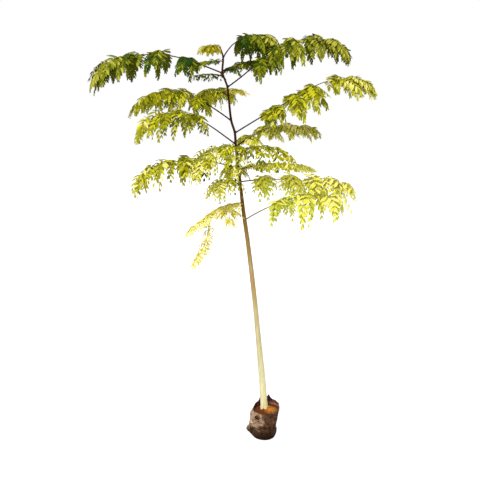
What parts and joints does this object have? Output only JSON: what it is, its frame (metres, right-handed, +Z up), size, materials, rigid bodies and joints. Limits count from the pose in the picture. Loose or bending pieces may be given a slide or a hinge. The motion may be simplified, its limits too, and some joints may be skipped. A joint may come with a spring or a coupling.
{
  "type": "royal poinciana sapling in a grow bag",
  "caption": "Young royal poinciana: a slim leaning stem with tiers of drooping ferny leaves, standing in a small dusty black film grow bag of orange soil.",
  "frame": {"origin": "centre of the bag's flat underside, on the surface that it stands on", "axes": "+Z up along the plant, -Z out of the underside; the stem leans towards -X; +Y away from the front"},
  "size_m": [0.9492, 0.5406, 1.4112],
  "materials": {
    "bark": "satin bark, straw at the foot through olive brown to dark purple-brown",
    "stalk": "smooth green-wood stalk, dark above and greyer below",
    "film": "dusty slack polythene film",
    "soil": "crumbly moist clay soil",
    "foliage_dark": "soft matte leaflet, deep green",
    "foliage_mid": "soft matte leaflet, olive",
    "foliage_light": "soft matte leaflet, yellow-green",
    "foliage_gold": "soft matte leaflet, yellow"
  },
  "bodies": {
    "root": {"trunk": "bark", "grow_bag": "film", "root_ball": "soil", "stalk_top_left": "stalk", "stalk_tip_left": "stalk", "stalk_neck_left": "stalk", "stalk_spray_left": "stalk", "stalk_spray_right": "stalk", "stalk_crest_right": "stalk", "stalk_top_right": "stalk", "stalk_tuft_right": "stalk", "stalk_upper_left": "stalk", "stalk_upper_back": "stalk", "stalk_middle_left": "stalk", "stalk_upper_right": "stalk", "stalk_middle_right": "stalk", "stalk_hanging_right": "stalk", "stalk_lower_left": "stalk", "stalk_front_left": "stalk", "stalk_front": "stalk", "stalk_lower_far": "stalk", "stalk_low_front": "stalk", "stalk_lower_right": "stalk", "stalk_lower_back": "stalk", "stalk_lowest_right": "stalk", "stalk_lowest_left": "stalk", "stalk_lowest_arm": "stalk", "stalk_lowest_tuft": "stalk", "frond_top_left": "foliage_dark", "frond_tip_left": "foliage_gold", "frond_neck_left": "foliage_dark", "frond_spray_left": "foliage_dark", "frond_spray_right": "foliage_dark", "frond_crest_right": "foliage_dark", "frond_top_right": "foliage_dark", "frond_tuft_right": "foliage_gold", "frond_upper_left": "foliage_mid", "frond_upper_back": "foliage_mid", "frond_middle_left": "foliage_mid", "frond_upper_right": "foliage_mid", "frond_middle_right": "foliage_mid", "frond_hanging_right": "foliage_mid", "frond_lower_left": "foliage_mid", "frond_front_left": "foliage_mid", "frond_front": "foliage_mid", "frond_lower_far": "foliage_mid", "frond_low_front": "foliage_mid", "frond_lower_right": "foliage_light", "frond_lower_back": "foliage_light", "frond_lowest_right": "foliage_light", "frond_lowest_left": "foliage_gold", "frond_lowest_arm": "foliage_gold", "frond_lowest_tuft": "foliage_gold"}
  },
  "joints": []
}
